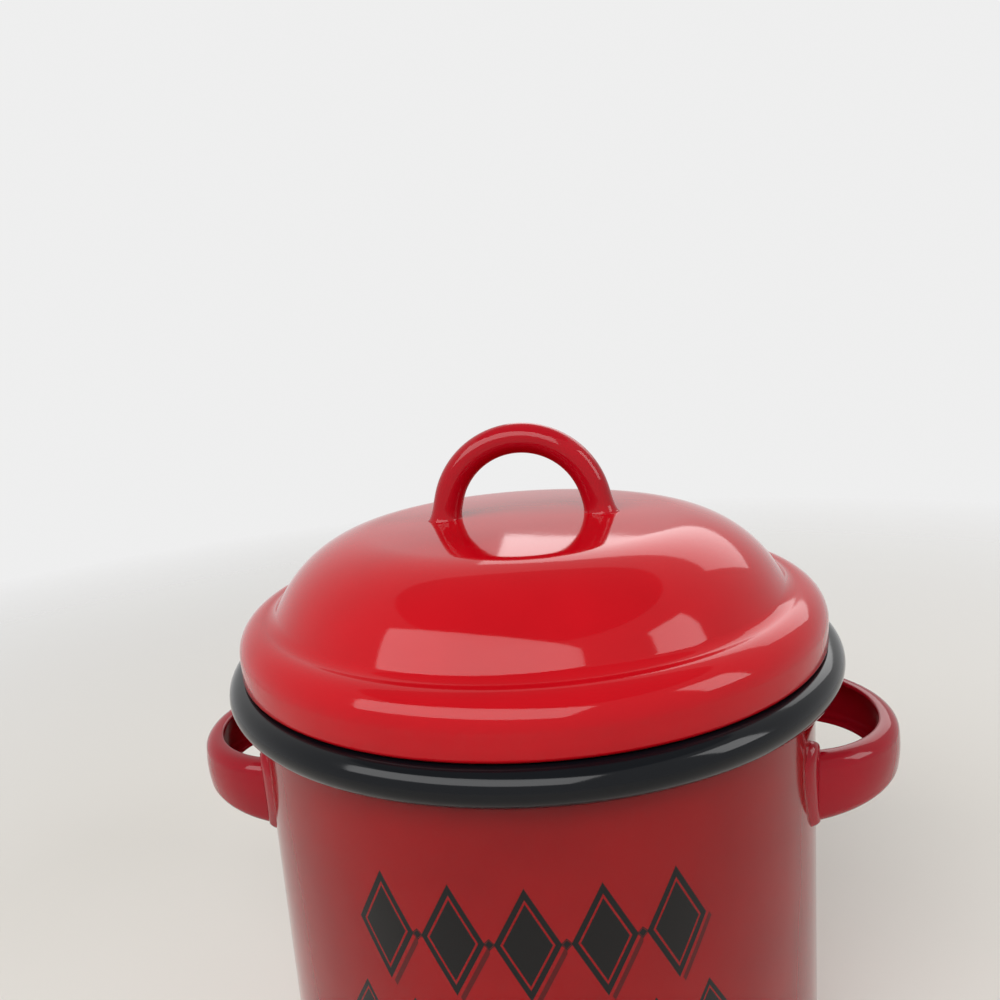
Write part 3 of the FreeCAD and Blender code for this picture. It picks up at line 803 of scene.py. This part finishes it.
def net_wires():
    """Every wire as a ring path, along X and then along Y, waving half a wire up and down."""
    radius = net_high.x
    middle = (net_low.z + net_high.z) / 2
    rows = int(radius / NET_PITCH)
    paths = []
    for row in range(-rows, rows + 1):
        offset = row * NET_PITCH
        half = math.sqrt(max(radius**2 - offset**2, 0))
        steps = max(2, int(half * 2 / NET_PITCH * STEPS_PER_PITCH))
        along = np.linspace(-half, half, steps)
        wave = np.cos(along / NET_PITCH * math.pi) * NET_WIRE / 2 * (-1) ** row
        level = np.full(steps, offset)
        paths.append((np.stack((along, level, middle + wave), axis=1), (0, 1, 0)))
        paths.append((np.stack((level, along, middle - wave), axis=1), (1, 0, 0)))
    return paths


def woven(name, wires, sides=5):
    """All the wires as one mesh, each a tube with open ends."""
    points, faces = [], []
    start = 0
    for path, square in wires:
        rings = swept(path, NET_WIRE / 2 * NET_THINNING, square, sides)
        faces += bands(len(rings), sides, start)
        points.append(rings.reshape(-1, 3))
        start += len(rings) * sides
    mesh = bpy.data.meshes.new(name)
    mesh.from_pydata(np.concatenate(points).tolist(), [], faces)
    mesh.materials.append(wire_steel)
    mesh.shade_smooth()
    piece = bpy.data.objects.new(name, mesh)
    bpy.context.scene.collection.objects.link(piece)
    return piece


net = woven("strainer_net_look", net_wires())
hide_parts("strainer_mesh")
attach(net, "strainer")
print("net wires", len(net_wires()), "faces", len(net.data.polygons))

# %% [markdown]
# Two welded eyes carry a wire bail. It lies at the front under the lid and swings up to lift
# the hot strainer out. The eyes are small blocks, so the model's own pieces serve, with their
# edges eased.

# %% Eyes and bail
EYE_DROP = 7.5 * MM
WIRE_RADIUS = 1.2 * MM
WIRE_END_GAP = 0.7 * MM
BAIL_RISE = 33 * MM
BAIL_BEND = 3 * MM
BAIL_SHOULDER = 2.1 * MM
EYE_EASE = 0.25 * MM
for side_name in ("left", "right"):
    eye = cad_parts["bail_eye_" + side_name]
    eye.data.materials.clear()
    eye.data.materials.append(steel)
    ease = eye.modifiers.new("eased_edges", "BEVEL")
    ease.width = EYE_EASE
    ease.segments = 2
    ease.limit_method = "ANGLE"

hinge = RIM_HEIGHT - EYE_DROP
straight = eye_low.x - BAIL_SHOULDER
wide_turn = (straight**2 + BAIL_RISE**2) / (2 * BAIL_RISE)
bow_middle = (0, wide_turn - BAIL_RISE - BAIL_BEND)
lean = math.degrees(math.atan2(bow_middle[1] + BAIL_BEND, straight))
wire_end = collar_inner - WIRE_END_GAP
bail_line = [(-wire_end, 0)]
bail_line += arc((-straight, -BAIL_BEND), BAIL_BEND, 90, lean, 10)
bail_line += arc(bow_middle, wide_turn - BAIL_BEND, 180 + lean, 360 - lean, 96)
bail_line += arc((straight, -BAIL_BEND), BAIL_BEND, 180 - lean, 90, 10)
bail_line += [(wire_end, 0)]
bail_path = [(x, y, hinge) for x, y in bail_line]
bail = skin("strainer_bail_look", swept(bail_path, WIRE_RADIUS, (0, 0, 1), 24), [wire_steel])
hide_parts("strainer_bail")
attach(bail, "bail")

# %% [markdown]
# ## Floor, light and camera
# The pot stands on a plain pale floor that fades out with distance, and a pale backdrop goes
# all round behind it. The backdrop shows to the camera and in reflections only, so it sends
# no light of its own.

# %% Floor and backdrop
FLOOR_HALF = 1.5
FADE_START = 0.2
FADE_END = 0.75
BACKDROP_RADIUS = 2.2
BACKDROP_REACH = 3.0
PALE = 0.86
CLOUD_SIZE = 0.4


def floor_finish():
    graph = Graph("pale_floor")
    point, x, y, _ = graph.place()
    cloud = graph.noise(point, CLOUD_SIZE, detail=3.0)
    away = (x * x + y * y).math("SQRT")
    return graph.finish({
        "Base Color": graph.mix(cloud, colour(236, 232, 225), colour(230, 226, 219)),
        "Roughness": 0.7,
        "Alpha": ((FADE_END - away) / (FADE_END - FADE_START)).clamped(),
    })


def backdrop_finish():
    """Pale to whatever looks at it, and dark to the light that it would send."""
    graph = Graph("pale_backdrop")
    seen = graph.make("ShaderNodeLightPath", output="Is Camera Ray")
    seen = seen + graph.make("ShaderNodeLightPath", output="Is Glossy Ray")
    seen = seen + graph.make("ShaderNodeLightPath", output="Is Transmission Ray")
    glow = graph.make("ShaderNodeEmission", inputs={"Strength": seen.clamped() * PALE})
    graph.make_output(glow)
    return graph.material


corners = [(-FLOOR_HALF, -FLOOR_HALF, 0), (FLOOR_HALF, -FLOOR_HALF, 0),
           (FLOOR_HALF, FLOOR_HALF, 0), (-FLOOR_HALF, FLOOR_HALF, 0)]
floor = solid("floor", corners, [(0, 1, 2, 3)], [floor_finish()])
bend = arc((0, 0), BACKDROP_RADIUS, 0, 360, 96)
sheet_points = [(x, y, z) for z in (-BACKDROP_REACH, BACKDROP_REACH) for x, y in bend]
sheet_faces = [(i, i + 1, i + 1 + len(bend), i + len(bend)) for i in range(len(bend) - 1)]
backdrop = solid("backdrop", sheet_points, sheet_faces, [backdrop_finish()])

# %% [markdown]
# The world is an even grey, so that colours look as they are. One big soft window in front
# and above draws the broad pink highlights on the dome and the edge, a smaller one on the
# right lights the wall, and one behind keeps the back from falling dark.

# %% World and lamps
ROOM = 0.4
POT_MIDDLE = Vector((0, 0, 0.1))
world = bpy.data.worlds.new("even_room")
bpy.context.scene.world = world
world.use_nodes = True
sky = world.node_tree.nodes["Background"]
sky.inputs["Color"].default_value = (1, 1, 1, 1)
sky.inputs["Strength"].default_value = ROOM


def window(name, place, width, height, watts):
    """A soft lamp that faces the middle of the pot."""
    lamp = bpy.data.lights.new(name, "AREA")
    lamp.shape = "RECTANGLE"
    lamp.size, lamp.size_y = width, height
    lamp.energy = watts
    holder = bpy.data.objects.new(name, lamp)
    holder.location = place
    holder.rotation_euler = (POT_MIDDLE - Vector(place)).to_track_quat("-Z", "Y").to_euler()
    bpy.context.scene.collection.objects.link(holder)


window("window_front", (-0.28, -0.66, 0.78), width=1.4, height=0.55, watts=12)
window("window_right", (0.9, -0.25, 0.60), width=0.35, height=0.5, watts=3)
window("window_back", (0.35, 1.0, 0.75), width=1.2, height=0.5, watts=4)

# %% [markdown]
# The camera stands close and a little above the lid, pitched down and rolled a few degrees,
# as in the photograph. The pot there is turned a little clockwise as seen from above. The
# model stays square to the frame, so the camera goes round it by that much instead.

# %% Camera
VIEW_TURN = 7.3
VIEW_PITCH = 10.4
VIEW_ROLL = 4.4
VIEW_PLACE = (-4.83 * MM, -177.39 * MM, 178.49 * MM)
LENS = 28.8
SENSOR_WIDTH = 36
NEAREST_SEEN = 0.01
turn = Matrix.Rotation(math.radians(VIEW_TURN), 4, "Z")
tilt = Matrix.Rotation(math.radians(90 - VIEW_PITCH), 4, "X")
roll = Matrix.Rotation(math.radians(-VIEW_ROLL), 4, "Z")
camera_data = bpy.data.cameras.new("camera")
camera_data.lens = LENS
camera_data.sensor_width = SENSOR_WIDTH
camera_data.clip_start = NEAREST_SEEN
camera = bpy.data.objects.new("camera", camera_data)
camera.matrix_world = turn @ Matrix.Translation(VIEW_PLACE) @ tilt @ roll
bpy.context.scene.collection.objects.link(camera)
bpy.context.scene.camera = camera
bpy.context.scene.view_settings.view_transform = "Standard"
